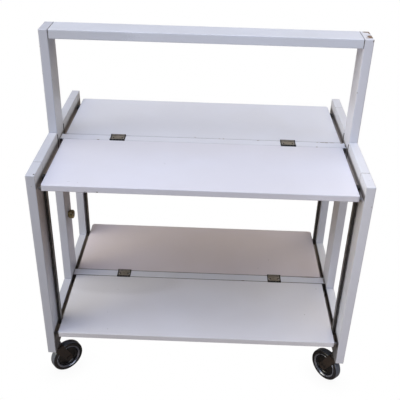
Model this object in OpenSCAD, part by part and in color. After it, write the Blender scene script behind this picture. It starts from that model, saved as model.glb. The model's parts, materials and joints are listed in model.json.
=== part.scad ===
// Folding room service table: two hinged side frames, two shelves of folding leaves
// on fixed centre bars, tie bars that lift both shelves together, and four casters.
// X runs along the shelves, Y from the front to the back, Z up, and the floor is Z = 0.

/* [Overall] */
// Length over the side frames
table_length = 702; // [600:1:820]
// Depth over the legs
table_depth = 473; // [440:1:500]
// Distance between the tops of the two shelves
shelf_spacing = 395; // [320:1:480]
// Height of the handle's top above the upper shelf
handle_rise = 258; // [250:1:320]

/* [Side frames] */
// Thickness of the boards in the side frames
frame_t = 20; // [16:1:24]
// Width of each leg
leg_w = 61; // [52:1:68]
// Width of each post
post_w = 61; // [56:1:70]
// Height of each rail
rail_h = 60; // [50:1:80]
// Height of the leg and rail tops above the upper shelf
frame_rise = 22; // [12:1:30]
// Reach of the legs below the bottom rails
leg_foot = 3; // [0:1:12]
// Gap between a rail and the post
gate_gap = 1; // [0.6:0.1:2]
// Rounding of the boards' edges
board_edge_r = 2; // [0.5:0.5:3]
// Rounding of the back legs' outer corners
back_leg_r = 5; // [1:0.5:8]
// Rounding of the boards' edges at the glued joints
joint_edge_r = 0.5; // [0.3:0.1:1]

/* [Handle] */
// Thickness of the handle bar
handle_t = 20; // [14:1:22]
// Depth of the handle bar
handle_w = 61; // [40:1:66]
// Rounding of the handle's edges
handle_edge_r = 2; // [1:0.5:5]

/* [Shelves] */
// Thickness of each shelf leaf
leaf_t = 14; // [12:0.5:18]
// Gap between the leaf ends and the side frames
end_gap = 8.5; // [8.5:0.5:14]
// Distance of the leaves' outer edges behind the legs' faces
leaf_setback = 2.5; // [0:0.5:10]
// Rounding of the leaves' edges
leaf_edge_r = 1.5; // [0.5:0.5:3]
// Rounding of the front leaves' outer corners
front_corner_r = 4; // [2:1:20]
// Rounding of the back leaves' outer corners
back_corner_r = 9; // [2:1:20]
// Width of each centre bar
bar_w = 25; // [20:1:40]
// Height of each centre bar
bar_h = 32; // [26:1:50]
// Gap between a centre bar and each leaf
seam_gap = 1; // [0.8:0.1:2]

/* [Shelf hinges] */
// Distance from the table's middle to the middle of each hinge
hinge_x = 198; // [120:1:260]
// Length of each hinge along the seam
hinge_l = 35; // [25:1:60]
// Thickness of the hinge plates
hinge_plate_t = 1.2; // [0.8:0.1:1.6]
// Radius of the hinge knuckles
knuckle_r = 2; // [1.8:0.1:2.5]
// Radius of the hinge pins
hinge_pin_r = 1.1; // [0.8:0.1:1.2]
// Height of the hinge pins above the shelf's top
hinge_line_lift = 1.2; // [1:0.1:2]
// Height of the flange let into the leaf's edge
flange_h = 10; // [6:0.5:11]

/* [Tie bars] */
// Distance from a leaf's outer edge to the tie bar's pivots
tie_inset = 46; // [36:1:70]
// Width of each tie bar
tie_w = 14; // [8:0.5:14]
// Thickness of each tie bar
tie_t = 5; // [3:0.5:5]
// Spacer between the leaf's end and the tie bar
tie_spacer = 1; // [0.6:0.1:1.4]
// Radius of the pivot screws
pivot_r = 2; // [1.5:0.1:2.5]
// Radius of the pivot screws' heads
pivot_head_r = 3.6; // [3.2:0.1:4.2]
// Thickness of the pivot screws' heads
pivot_head_t = 1.3; // [0.8:0.1:1.8]

/* [Support pegs] */
// Radius of the pegs under the leaf ends
peg_r = 4; // [3:0.5:5]
// Distance from a leg's outer face to its pegs
peg_inset = 21; // [14:1:24]
// Reach of each peg under the leaf
peg_reach = 10; // [6:1:20]

/* [Stop knob] */
// Radius of the turned knob on the left post
knob_r = 11; // [8:0.5:11.5]
// Length of the knob
knob_l = 14; // [10:1:20]
// Height of the knob above the lower shelf
knob_height = 180; // [120:1:200]

/* [Gate hinges] */
// Height of each gate hinge
gate_hinge_h = 50; // [25:1:50]
// Width of each gate hinge plate
gate_plate_w = 12; // [10:1:14]
// Thickness of the gate hinge plates
gate_plate_t = 1.5; // [1:0.1:2.5]
// Radius of the gate hinge knuckles
gate_knuckle_r = 2.4; // [2:0.1:2.6]
// Depth of the gate hinges' pins behind the boards' faces
gate_pin_depth = 1.4; // [0.6:0.1:2]

/* [Casters] */
// Radius of the wheels over the tyre
wheel_r = 40; // [32:1:50]
// Width of the tyre
tyre_w = 18; // [14:1:24]
// Thickness of the tyre's rubber
tyre_t = 9; // [6:0.5:12]
// Distance from the swivel axis to the axle
caster_trail = 27; // [20:1:34]
// Direction in which the front left caster trails
front_left_angle = 41; // [0:1:180]
// Direction in which the front right caster trails
front_right_angle = 130; // [0:1:180]
// Direction in which the back left caster trails
back_left_angle = -41; // [-180:1:0]
// Direction in which the back right caster trails
back_right_angle = -130; // [-180:1:0]
// Thickness of the fork's sheet
fork_t = 2.5; // [2:0.5:4]
// Radius of the axle
axle_r = 4; // [3:0.5:5]
// Radius of the stem in the leg
stem_r = 5; // [4:0.5:6]
// Length of the stem in the leg
stem_l = 38; // [25:1:60]

/* [Hidden] */
// Fits and small sizes
running_fit = 0.05;
glue_fit = 0.05;
knuckle_gap = 0.3;
plate_screw_x = 12.5;
plate_screw_r = 1.6;
plate_screw_head_r = 2.8;
knuckle_count = 5;
peg_clearance = 0.3;
dowel_r = 4;
dowel_l = 34;
dowel_in_post = 11;
rail_dowel_margin = 13;
pivot_depth = 24;
knob_screw_r = 2;
knob_screw_head_r = 4;
knob_screw_head_t = 2;
knob_screw_in_post = 12;
knob_head_gap = 0.6;
knob_recess = 3;
knob_round_r = 4;
knob_neck_r = 8;
knob_neck_l = 3;
peg_in_leg = 13;
cup_h = 6;
cup_r = 14;
race_h = 1;
race_r = 12;
crown_t = 3;
crown_r = 15;
crown_back = 10;
crown_front = 15;
crown_clearance = 2;
king_pin_r = 4;
rivet_r = 6.5;
rivet_h = 2.5;
fork_clearance = 1.5;
fork_foot_r = 9.5;
hub_clearance = 0.3;
hub_r = 9;
rim_t = 4;
rim_edge = 1.5;
lip_r = 1.5;
web_t = 4;
dish_r = 6;
ring_r = 19;
ring_w = 2;
ring_h = 0.8;
hub_round_r = 1;
tyre_round_r = 4;
groove_r = 33.6;
groove_depth = 0.7;
nut_r = 6.5;
nut_h = 3;
bore_extra = 1;
$fn = 48;

// Heights
fork_crown_z = 2 * wheel_r + crown_clearance;
leg_bottom_z = fork_crown_z + crown_t + race_h + cup_h;
lower_rail_z = leg_bottom_z + leg_foot;
lower_shelf_z = lower_rail_z + rail_h;
upper_shelf_z = lower_shelf_z + shelf_spacing;
frame_top_z = upper_shelf_z + frame_rise;
upper_rail_z = frame_top_z - rail_h;
handle_top_z = upper_shelf_z + handle_rise;

// Places along the length
frame_inner_x = table_length / 2 - frame_t;
frame_middle_x = table_length / 2 - frame_t / 2;
leaf_end_x = frame_inner_x - end_gap;
tie_inner_x = leaf_end_x + tie_spacer;

// Places along the depth
leg_outer_y = table_depth / 2;
leg_inner_y = leg_outer_y - leg_w;
gate_line_y = post_w / 2 + gate_gap / 2;
rail_inner_y = post_w / 2 + gate_gap;
leaf_inner_y = bar_w / 2 + seam_gap;
leaf_outer_y = leg_outer_y - leaf_setback;
hinge_line_y = bar_w / 2 + seam_gap / 2;
tie_y = leaf_outer_y - tie_inset;
peg_y = leg_outer_y - peg_inset;
caster_y = leg_outer_y - leg_w / 2;
knuckle_l = hinge_l / knuckle_count;
fork_inner_y = tyre_w / 2 + fork_clearance;
fork_outer_y = fork_inner_y + fork_t;
rim_r = wheel_r - tyre_t;

// Sides: -1 is left or front, 1 is right or back
left = -1;
right = 1;
front = -1;
back = 1;

// Colours
white_lacquer = [0.88, 0.89, 0.93];
birch = [0.80, 0.66, 0.46];
dark_steel = [0.10, 0.10, 0.11];
bronze = [0.45, 0.30, 0.16];
steel = [0.62, 0.62, 0.64];
amber_brass = [0.66, 0.42, 0.18];
black_enamel = [0.08, 0.07, 0.07];
grey_rubber = [0.22, 0.24, 0.28];

// What a rounding takes off the corner of a rectangle, from the rounding's centre outwards
module corner_waste(r) {
    difference() {
        square(r + bore_extra);
        circle(r = r, $fn = 24);
    }
}

// A rectangle from low to high with its corners rounded: ra at the low x, rb at the high x
module rounded_rectangle(low, high, ra, rb) {
    difference() {
        translate(low) square(high - low);
        for (end = [[low.x + ra, 1, ra], [high.x - rb, 0, rb]], side = [0, 1])
            translate([end[0], side == 1 ? low.y + end[2] : high.y - end[2]])
                mirror([end[1], 0]) mirror([0, side]) corner_waste(end[2]);
    }
}

// A board from low to high with edges rounded by r, but by ra and rb at its ends along X
module board_along_x(low, high, r, ra, rb) {
    intersection() {
        translate([0, 0, low.z])
            linear_extrude(high.z - low.z)
                rounded_rectangle([low.x, low.y], [high.x, high.y], ra, rb);
        translate([0, high.y, 0])
            rotate([90, 0, 0])
                linear_extrude(high.y - low.y)
                    rounded_rectangle([low.x, low.z], [high.x, high.z], ra, rb);
        translate([low.x, 0, 0])
            rotate([90, 0, 90])
                linear_extrude(high.x - low.x)
                    rounded_rectangle([low.y, low.z], [high.y, high.z], r, r);
    }
}

// The same along Y
module board_along_y(low, high, r, ra, rb) {
    rotate([0, 0, 90])
        mirror([0, 1, 0])
            board_along_x([low.y, low.x, low.z], [high.y, high.x, high.z], r, ra, rb);
}

// A round bar along X from x0 to x1
module bar_along_x(r, x0, x1) {
    translate([x0, 0, 0]) rotate([0, 90, 0]) cylinder(r = r, h = x1 - x0);
}

// A round bar along Y from y0 to y1
module bar_along_y(r, y0, y1) {
    translate([0, y0, 0]) rotate([-90, 0, 0]) cylinder(r = r, h = y1 - y0);
}

// A box given by its two corners
module box(low, high) {
    translate(low) cube(high - low);
}

// Moves a piece made at the back right to the given side
module at_side(sx, sy) {
    mirror([sx < 0 ? 1 : 0, 0, 0]) mirror([0, sy < 0 ? 1 : 0, 0]) children();
}

// Dowels that join the rails to a leg
module rail_dowels(r) {
    for (z = [lower_rail_z, upper_rail_z], dz = [rail_dowel_margin, rail_h - rail_dowel_margin])
        translate([frame_middle_x, leg_inner_y, z + dz]) bar_along_y(r, -dowel_l / 2, dowel_l / 2);
}

// Dowels that join the centre bars and the handle to a post
module post_dowels(r) {
    for (top_z = [lower_shelf_z, upper_shelf_z], s = [-1, 1])
        translate([frame_inner_x, 0, top_z - bar_h / 2 + s * bar_h / 4])
            bar_along_x(r, dowel_in_post - dowel_l, dowel_in_post);
    for (s = [-1, 1])
        translate([frame_inner_x, s * handle_w / 4, handle_top_z - handle_t / 2])
            bar_along_x(r, dowel_in_post - dowel_l, dowel_in_post);
}

// Pockets for the two gate hinges on one side of a post
module gate_hinge_pockets() {
    for (z = [lower_rail_z, upper_rail_z])
        translate([frame_inner_x, 0, z + rail_h / 2 - gate_hinge_h / 2]) {
            box(
                [-bore_extra, post_w / 2 - gate_plate_t, 0],
                [gate_plate_w, rail_inner_y + gate_plate_t, gate_hinge_h]
            );
            translate([gate_pin_depth, gate_line_y, 0])
                cylinder(r = gate_knuckle_r + running_fit, h = gate_hinge_h);
        }
}

// A post with its joints, made on the right
module post() {
    color(white_lacquer) difference() {
        board_along_y(
            [frame_inner_x, -post_w / 2, lower_rail_z],
            [table_length / 2, post_w / 2, handle_top_z],
            board_edge_r, board_edge_r, board_edge_r
        );
        post_dowels(dowel_r + glue_fit);
        gate_hinge_pockets();
        mirror([0, 1, 0]) gate_hinge_pockets();
    }
}

module left_post() {
    color(white_lacquer) difference() {
        at_side(left, back) post();
        at_side(left, back) knob_screw_shank();
    }
}

module right_post() {
    post();
}

module handle_bar() {
    color(white_lacquer) difference() {
        board_along_x(
            [-frame_inner_x, -handle_w / 2, handle_top_z - handle_t],
            [frame_inner_x, handle_w / 2, handle_top_z],
            handle_edge_r, joint_edge_r, joint_edge_r
        );
        for (sx = [left, right])
            at_side(sx, back) post_dowels(dowel_r + glue_fit);
    }
}

// A bar in the middle of a shelf, between the posts, with seats for the hinge plates
module centre_bar(top_z) {
    color(white_lacquer) difference() {
        board_along_x(
            [-frame_inner_x, -bar_w / 2, top_z - bar_h],
            [frame_inner_x, bar_w / 2, top_z],
            joint_edge_r, joint_edge_r, joint_edge_r
        );
        for (sx = [left, right])
            at_side(sx, back) post_dowels(dowel_r + glue_fit);
        for (s = [-1, 1])
            translate([s * hinge_x, 0, top_z])
                box(
                    [-hinge_l / 2, -hinge_line_y, -hinge_plate_t],
                    [hinge_l / 2, hinge_line_y, bore_extra]
                );
    }
}

// A leg of a side frame, with holes for its dowels, pegs and caster stem
module leg(outer_r) {
    color(white_lacquer) difference() {
        board_along_y(
            [frame_inner_x, leg_inner_y, leg_bottom_z],
            [table_length / 2, leg_outer_y, frame_top_z],
            board_edge_r, joint_edge_r, outer_r
        );
        rail_dowels(dowel_r + glue_fit);
        leg_pegs(peg_r + glue_fit);
        translate([frame_middle_x, caster_y, leg_bottom_z - bore_extra])
            cylinder(r = stem_r + glue_fit, h = stem_l + bore_extra);
    }
}

// A rail of a side frame, between its leg and the post
module rail(z) {
    color(white_lacquer) difference() {
        board_along_y(
            [frame_inner_x, rail_inner_y, z],
            [table_length / 2, leg_inner_y, z + rail_h],
            board_edge_r, joint_edge_r, joint_edge_r
        );
        rail_dowels(dowel_r + glue_fit);
        gate_hinge_pockets();
    }
}

// The two butt hinges that join one side frame to its post, with plates let into the faces that
// meet at the gap and the knuckles on the inner side
module gate_hinges() {
    color(bronze)
        for (z = [lower_rail_z, upper_rail_z])
            translate([frame_inner_x, 0, z + rail_h / 2 - gate_hinge_h / 2]) {
                box([0, post_w / 2 - gate_plate_t, 0], [gate_plate_w, post_w / 2, gate_hinge_h]);
                box([0, rail_inner_y, 0], [gate_plate_w, rail_inner_y + gate_plate_t, gate_hinge_h]);
                translate([gate_pin_depth, gate_line_y, 0])
                    cylinder(r = gate_knuckle_r, h = gate_hinge_h);
            }
}

module frame_dowels() {
    color(birch)
        for (sx = [left, right]) {
            at_side(sx, back) post_dowels(dowel_r);
            for (sy = [front, back])
                at_side(sx, sy) rail_dowels(dowel_r);
        }
}

// Pegs on one leg that carry the ends of the leaves
module leg_pegs(r) {
    for (top_z = [lower_shelf_z, upper_shelf_z])
        translate([frame_inner_x, peg_y, top_z - leaf_t - peg_clearance - peg_r])
            bar_along_x(r, -end_gap - peg_reach, peg_in_leg);
}

module support_pegs() {
    color(steel)
        for (sx = [left, right], sy = [front, back])
            at_side(sx, sy) leg_pegs(peg_r);
}

// Stands a turned piece on the post's inner face, on the knob's axis
module at_knob() {
    translate([frame_inner_x, 0, lower_shelf_z + knob_height]) rotate([0, -90, 0]) children();
}

// Turned knob that keeps the folded lower leaves apart
module stop_knob() {
    color(amber_brass) at_side(left, back) at_knob() difference() {
        rotate_extrude() {
            square([knob_neck_r, knob_l / 2]);
            translate([0, knob_neck_l]) square([knob_r, knob_l - knob_neck_l - knob_round_r]);
            square([knob_r - knob_round_r, knob_l]);
            translate([knob_r - knob_round_r, knob_l - knob_round_r]) circle(r = knob_round_r);
        }
        translate([0, 0, -bore_extra]) cylinder(r = knob_screw_r, h = knob_l);
        translate([0, 0, knob_l - knob_recess])
            cylinder(r = knob_screw_head_r + knob_head_gap, h = knob_recess + bore_extra);
    }
}

module knob_screw_shank() {
    at_knob() translate([0, 0, -knob_screw_in_post])
        cylinder(r = knob_screw_r, h = knob_screw_in_post + knob_l - knob_recess);
}

module stop_knob_screw() {
    color(steel) at_side(left, back) {
        knob_screw_shank();
        at_knob() translate([0, 0, knob_l - knob_recess])
            cylinder(r = knob_screw_head_r, h = knob_screw_head_t);
    }
}

// Outline of a leaf seen from above, at the back
module leaf_outline(corner_r) {
    translate([-leaf_end_x, leaf_inner_y])
        square([2 * leaf_end_x, leaf_outer_y - leaf_inner_y - corner_r]);
    translate([-leaf_end_x + corner_r, leaf_inner_y])
        square([2 * leaf_end_x - 2 * corner_r, leaf_outer_y - leaf_inner_y]);
    for (sx = [-1, 1])
        translate([sx * (leaf_end_x - corner_r), leaf_outer_y - corner_r]) circle(r = corner_r);
}

// A leaf at the back, with mortises for its hinges and holes for the pivot screws
module leaf(top_z, corner_r) {
    color(white_lacquer) difference() {
        intersection() {
            translate([0, 0, top_z - leaf_t]) linear_extrude(leaf_t) leaf_outline(corner_r);
            board_along_y(
                [-leaf_end_x, leaf_inner_y, top_z - leaf_t],
                [leaf_end_x, leaf_outer_y, top_z],
                leaf_edge_r, joint_edge_r, leaf_edge_r
            );
        }
        for (s = [-1, 1])
            translate([s * hinge_x, 0, top_z]) {
                box(
                    [-hinge_l / 2, leaf_inner_y - bore_extra, -flange_h],
                    [hinge_l / 2, leaf_inner_y + hinge_plate_t, bore_extra]
                );
                knuckle_room();
            }
        for (sx = [left, right])
            at_side(sx, back) pivot_shank(top_z);
    }
}

// Room for the knuckles in the top of a leaf's edge
module knuckle_room() {
    room = knuckle_r + knuckle_gap;
    box(
        [-hinge_l / 2, hinge_line_y - room, hinge_line_lift - room],
        [hinge_l / 2, hinge_line_y + room, hinge_line_lift + room]
    );
}

// Every second knuckle along a hinge: the plate's from 0 or the flange's from 1
module knuckles(first) {
    for (k = [first : 2 : knuckle_count - 1])
        translate([-hinge_l / 2 + k * knuckle_l, hinge_line_y, hinge_line_lift])
            bar_along_x(knuckle_r, knuckle_gap / 2, knuckle_l - knuckle_gap / 2);
}

// A pin on a hinge's line, from one end of the hinge to the other
module hinge_pin(r, extra) {
    translate([0, hinge_line_y, hinge_line_lift])
        bar_along_x(r, -hinge_l / 2 - extra, hinge_l / 2 + extra);
}

// A countersunk hole for a plate's wood screw
module plate_screw_hole() {
    translate([0, 0, -hinge_plate_t - bore_extra])
        cylinder(r = plate_screw_r, h = hinge_plate_t + 2 * bore_extra);
    translate([0, 0, -hinge_plate_t])
        cylinder(r1 = plate_screw_r, r2 = plate_screw_head_r, h = hinge_plate_t);
}

// Plates let into a centre bar, with the knuckles over both seams
module hinge_plates(top_z) {
    plate_y = hinge_line_y - knuckle_r - knuckle_gap;
    color(bronze)
        for (s = [-1, 1])
            translate([s * hinge_x, 0, top_z]) difference() {
                union() {
                    box([-hinge_l / 2, -plate_y, -hinge_plate_t], [hinge_l / 2, plate_y, 0]);
                    for (k = [0 : 2 : knuckle_count - 1])
                        translate([-hinge_l / 2 + k * knuckle_l, 0, 0])
                            box(
                                [knuckle_gap / 2, -hinge_line_y, -hinge_plate_t],
                                [knuckle_l - knuckle_gap / 2, hinge_line_y, 0]
                            );
                    for (sy = [front, back])
                        at_side(right, sy) knuckles(0);
                }
                for (sy = [front, back])
                    at_side(right, sy) hinge_pin(hinge_pin_r + running_fit, bore_extra);
                for (x = [-plate_screw_x, plate_screw_x])
                    translate([x, 0, 0]) plate_screw_hole();
            }
}

// Flanges let into a back leaf's edge, with the knuckles between the plate's
module hinge_flanges(top_z) {
    color(bronze)
        for (s = [-1, 1])
            translate([s * hinge_x, 0, top_z]) difference() {
                union() {
                    difference() {
                        box(
                            [-hinge_l / 2, leaf_inner_y, -flange_h],
                            [hinge_l / 2, leaf_inner_y + hinge_plate_t, 0]
                        );
                        knuckle_room();
                    }
                    for (k = [1 : 2 : knuckle_count - 1])
                        translate([-hinge_l / 2 + k * knuckle_l, 0, 0])
                            box(
                                [knuckle_gap / 2, leaf_inner_y, -flange_h],
                                [knuckle_l - knuckle_gap / 2, leaf_inner_y + hinge_plate_t, hinge_line_lift]
                            );
                    knuckles(1);
                }
                hinge_pin(hinge_pin_r + running_fit, bore_extra);
            }
}

module hinge_pins(top_z) {
    color(steel)
        for (s = [-1, 1], sy = [front, back])
            translate([s * hinge_x, 0, top_z]) at_side(right, sy) hinge_pin(hinge_pin_r, 0);
}

// The shank of a pivot screw, from inside the leaf's end to its head
module pivot_shank(top_z) {
    translate([leaf_end_x, tie_y, top_z - leaf_t / 2])
        bar_along_x(pivot_r, -pivot_depth, tie_spacer + tie_t + pivot_head_t);
}

// Pivot screws at both ends of a back leaf, each with its spacer and head
module pivot_screws(top_z) {
    color(steel)
        for (sx = [left, right])
            at_side(sx, back) {
                pivot_shank(top_z);
                translate([leaf_end_x, tie_y, top_z - leaf_t / 2]) {
                    bar_along_x(pivot_head_r, 0, tie_spacer);
                    bar_along_x(pivot_head_r, tie_spacer + tie_t, tie_spacer + tie_t + pivot_head_t);
                }
            }
}

// A flat bar that joins the ends of an upper and a lower leaf
module tie_bar() {
    low_z = lower_shelf_z - leaf_t / 2;
    high_z = upper_shelf_z - leaf_t / 2;
    color(dark_steel) difference() {
        union() {
            box(
                [tie_inner_x, tie_y - tie_w / 2, low_z],
                [tie_inner_x + tie_t, tie_y + tie_w / 2, high_z]
            );
            for (z = [low_z, high_z])
                translate([tie_inner_x, tie_y, z]) bar_along_x(tie_w / 2, 0, tie_t);
        }
        for (z = [low_z, high_z])
            translate([tie_inner_x, tie_y, z])
                bar_along_x(pivot_r + running_fit, -bore_extra, tie_t + bore_extra);
    }
}

// Stands a caster's piece under its leg, turned so that X points where the wheel trails
module at_caster(sx, sy, turn) {
    translate([sx * frame_middle_x, sy * caster_y, 0]) rotate([0, 0, turn]) children();
}

// Stem, upper race and riveted king pin of one caster
module caster_stem() {
    translate([0, 0, leg_bottom_z]) cylinder(r = stem_r, h = stem_l);
    translate([0, 0, leg_bottom_z - cup_h]) cylinder(r1 = race_r, r2 = cup_r, h = cup_h);
    translate([0, 0, fork_crown_z]) cylinder(r = king_pin_r, h = crown_t + race_h);
    translate([0, 0, fork_crown_z - rivet_h]) cylinder(r = rivet_r, h = rivet_h);
}

module caster_stems() {
    color(steel)
        for (sx = [left, right], sy = [front, back])
            at_caster(sx, sy, 0) caster_stem();
}

// Outline of a fork's arm seen from the side, from the crown to the axle
module fork_arm_outline() {
    hull() {
        translate([-crown_back, fork_crown_z]) square([crown_back + crown_front, crown_t]);
        translate([caster_trail, wheel_r]) circle(r = fork_foot_r, $fn = 32);
    }
}

// Pressed fork with its axle
module fork() {
    color(black_enamel) {
        difference() {
            union() {
                translate([0, 0, fork_crown_z]) cylinder(r = crown_r, h = crown_t);
                box(
                    [-crown_back, -fork_outer_y, fork_crown_z],
                    [crown_front, fork_outer_y, fork_crown_z + crown_t]
                );
                translate([0, 0, fork_crown_z + crown_t]) cylinder(r = race_r, h = race_h);
            }
            translate([0, 0, fork_crown_z - bore_extra])
                cylinder(r = king_pin_r + running_fit, h = crown_t + race_h + 2 * bore_extra);
        }
        for (y = [fork_outer_y, -fork_inner_y])
            translate([0, y, 0]) rotate([90, 0, 0]) linear_extrude(fork_t) fork_arm_outline();
        translate([caster_trail, 0, wheel_r]) {
            bar_along_y(axle_r, -fork_outer_y, fork_outer_y);
            for (y = [-fork_outer_y - nut_h, fork_outer_y])
                translate([0, y, 0]) rotate([-90, 0, 0]) cylinder(r = nut_r, h = nut_h, $fn = 6);
        }
    }
}

// Stands a turned piece on the axle
module on_axle() {
    translate([caster_trail, 0, wheel_r]) rotate([90, 0, 0]) children();
}

// Section of the hollow on one side of a wheel, round at the foot of the rim
module dish_outline() {
    hollow_r = rim_r - rim_t;
    translate([hub_r, web_t / 2]) square([hollow_r - dish_r - hub_r, tyre_w]);
    translate([hub_r, web_t / 2 + dish_r]) square([hollow_r - hub_r, tyre_w]);
    translate([hollow_r - dish_r, web_t / 2 + dish_r]) circle(r = dish_r);
}

// Section of a wheel: hub, dished web with a raised ring, and rim with rolled lips
module wheel_outline() {
    hub_y = fork_inner_y - hub_clearance;
    bore_r = axle_r + running_fit;
    rim_y = tyre_w / 2 - rim_edge;
    translate([bore_r, -hub_y]) square([hub_r - hub_round_r - bore_r, 2 * hub_y]);
    translate([bore_r, -hub_y + hub_round_r]) square([hub_r - bore_r, 2 * hub_y - 2 * hub_round_r]);
    translate([ring_r, -web_t / 2 - ring_h]) square([ring_w, web_t + 2 * ring_h]);
    difference() {
        translate([bore_r, -rim_y]) square([rim_r - bore_r, 2 * rim_y]);
        for (side = [0, 1])
            mirror([0, side]) dish_outline();
    }
    for (s = [-1, 1]) {
        translate([hub_r - hub_round_r, s * (hub_y - hub_round_r)]) circle(r = hub_round_r);
        translate([rim_r - lip_r, s * rim_y]) circle(r = lip_r);
    }
}

module wheel() {
    color(black_enamel) on_axle() rotate_extrude($fn = 64) wheel_outline();
}

// Section of a tyre with round shoulders and a groove in each side
module tyre_outline() {
    difference() {
        union() {
            translate([rim_r, -tyre_w / 2]) square([tyre_t - tyre_round_r, tyre_w]);
            translate([rim_r, -tyre_w / 2 + tyre_round_r])
                square([tyre_t, tyre_w - 2 * tyre_round_r]);
            for (s = [-1, 1])
                translate([wheel_r - tyre_round_r, s * (tyre_w / 2 - tyre_round_r)])
                    circle(r = tyre_round_r);
        }
        for (s = [-1, 1])
            translate([groove_r, s * tyre_w / 2]) circle(r = groove_depth, $fn = 16);
    }
}

module tyre() {
    color(grey_rubber) on_axle() rotate_extrude($fn = 64) tyre_outline();
}

// Side frames and bars
left_post();
right_post();
handle_bar();
centre_bar(upper_shelf_z);  // upper_centre_bar
centre_bar(lower_shelf_z);  // lower_centre_bar
at_side(left, front) leg(board_edge_r);  // front_left_leg
at_side(left, front) rail(upper_rail_z);  // front_left_top_rail
at_side(left, front) rail(lower_rail_z);  // front_left_bottom_rail
at_side(left, front) gate_hinges();  // front_left_gate_hinges
at_side(right, front) leg(board_edge_r);  // front_right_leg
at_side(right, front) rail(upper_rail_z);  // front_right_top_rail
at_side(right, front) rail(lower_rail_z);  // front_right_bottom_rail
at_side(right, front) gate_hinges();  // front_right_gate_hinges
at_side(left, back) leg(back_leg_r);  // back_left_leg
at_side(left, back) rail(upper_rail_z);  // back_left_top_rail
at_side(left, back) rail(lower_rail_z);  // back_left_bottom_rail
at_side(left, back) gate_hinges();  // back_left_gate_hinges
at_side(right, back) leg(back_leg_r);  // back_right_leg
at_side(right, back) rail(upper_rail_z);  // back_right_top_rail
at_side(right, back) rail(lower_rail_z);  // back_right_bottom_rail
at_side(right, back) gate_hinges();  // back_right_gate_hinges
frame_dowels();
support_pegs();
stop_knob();
stop_knob_screw();

// Shelves, their hinges and tie bars
hinge_plates(upper_shelf_z);  // upper_hinge_plates
hinge_pins(upper_shelf_z);  // upper_hinge_pins
at_side(right, front) leaf(upper_shelf_z, front_corner_r);  // upper_front_leaf
at_side(right, front) hinge_flanges(upper_shelf_z);  // upper_front_hinge_flanges
at_side(right, front) pivot_screws(upper_shelf_z);  // upper_front_pivot_screws
at_side(right, back) leaf(upper_shelf_z, back_corner_r);  // upper_back_leaf
at_side(right, back) hinge_flanges(upper_shelf_z);  // upper_back_hinge_flanges
at_side(right, back) pivot_screws(upper_shelf_z);  // upper_back_pivot_screws
hinge_plates(lower_shelf_z);  // lower_hinge_plates
hinge_pins(lower_shelf_z);  // lower_hinge_pins
at_side(right, front) leaf(lower_shelf_z, front_corner_r);  // lower_front_leaf
at_side(right, front) hinge_flanges(lower_shelf_z);  // lower_front_hinge_flanges
at_side(right, front) pivot_screws(lower_shelf_z);  // lower_front_pivot_screws
at_side(right, back) leaf(lower_shelf_z, back_corner_r);  // lower_back_leaf
at_side(right, back) hinge_flanges(lower_shelf_z);  // lower_back_hinge_flanges
at_side(right, back) pivot_screws(lower_shelf_z);  // lower_back_pivot_screws
at_side(left, front) tie_bar();  // front_left_tie_bar
at_side(right, front) tie_bar();  // front_right_tie_bar
at_side(left, back) tie_bar();  // back_left_tie_bar
at_side(right, back) tie_bar();  // back_right_tie_bar

// Casters
caster_stems();
at_caster(left, front, front_left_angle) fork();  // front_left_fork
at_caster(left, front, front_left_angle) wheel();  // front_left_wheel
at_caster(left, front, front_left_angle) tyre();  // front_left_tyre
at_caster(right, front, front_right_angle) fork();  // front_right_fork
at_caster(right, front, front_right_angle) wheel();  // front_right_wheel
at_caster(right, front, front_right_angle) tyre();  // front_right_tyre
at_caster(left, back, back_left_angle) fork();  // back_left_fork
at_caster(left, back, back_left_angle) wheel();  // back_left_wheel
at_caster(left, back, back_left_angle) tyre();  // back_left_tyre
at_caster(right, back, back_right_angle) fork();  // back_right_fork
at_caster(right, back, back_right_angle) wheel();  // back_right_wheel
at_caster(right, back, back_right_angle) tyre();  // back_right_tyre
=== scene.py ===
# Dresses the folding room service table: worn white lacquer with painted light and shade, bronze hinges,
# black tie bars and casters.
import json
import math

import bmesh
import bpy
from mathutils import Matrix, Vector


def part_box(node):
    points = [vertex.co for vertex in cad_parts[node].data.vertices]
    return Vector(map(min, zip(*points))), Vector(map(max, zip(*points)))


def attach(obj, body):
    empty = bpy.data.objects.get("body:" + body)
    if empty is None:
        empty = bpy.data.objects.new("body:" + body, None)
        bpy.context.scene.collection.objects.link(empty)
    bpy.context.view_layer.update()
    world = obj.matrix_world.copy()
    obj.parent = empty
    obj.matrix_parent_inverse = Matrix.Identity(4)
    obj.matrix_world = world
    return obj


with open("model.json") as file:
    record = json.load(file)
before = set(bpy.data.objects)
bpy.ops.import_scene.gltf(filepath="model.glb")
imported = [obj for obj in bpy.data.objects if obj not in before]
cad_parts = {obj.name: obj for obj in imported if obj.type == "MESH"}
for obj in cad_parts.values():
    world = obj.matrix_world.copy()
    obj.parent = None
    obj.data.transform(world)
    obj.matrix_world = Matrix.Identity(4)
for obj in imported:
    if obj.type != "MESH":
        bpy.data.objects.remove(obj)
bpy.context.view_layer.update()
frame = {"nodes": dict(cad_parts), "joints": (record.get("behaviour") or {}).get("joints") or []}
nodes = frame["nodes"]
print("frame loaded:", len(nodes), "nodes")

corners = [(a, b) for a in ("front", "back") for b in ("left", "right")]
noiseMiddle = 0.5
noiseSpan = (0.3, 0.7)                      # where most of a noise's values lie


# small helpers for node trees

def feed(tree, target, value):
    # a socket is linked, anything else is set as the input's value
    if isinstance(value, bpy.types.NodeSocket):
        tree.links.new(value, target)
    else:
        target.default_value = value


def addNode(tree, kind, inputs=None, **settings):
    node = tree.nodes.new(kind)
    for name, value in settings.items():
        setattr(node, name, value)
    for name, value in (inputs or {}).items():
        feed(tree, node.inputs[name], value)
    return node


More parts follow.
